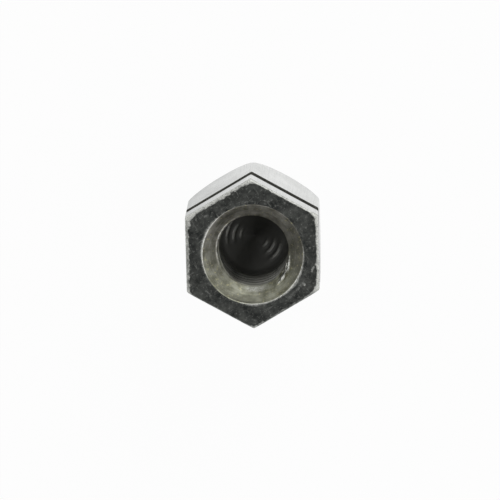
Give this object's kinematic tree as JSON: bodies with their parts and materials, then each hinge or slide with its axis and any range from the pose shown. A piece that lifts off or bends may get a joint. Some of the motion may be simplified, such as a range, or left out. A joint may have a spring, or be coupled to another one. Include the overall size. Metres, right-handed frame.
{
  "type": "domed nut",
  "caption": "One-piece hexagon nut with a closed, low-domed crown, a narrow groove round its flats and a countersunk blind tapped hole; it caps the end of a stud or bolt.",
  "frame": {"origin": "middle of the small flat at the tip of the crown, on the thread axis, where the nut stands", "axes": "+Z along the thread axis, out of the open end; X square to a pair of flats; Y through a pair of corners"},
  "size_m": [0.0126, 0.0146, 0.0141],
  "materials": {
    "plated_steel": "bright plated and worn, bare steel on the open face"
  },
  "bodies": {
    "root": {"domed_nut": "plated_steel"}
  },
  "joints": []
}
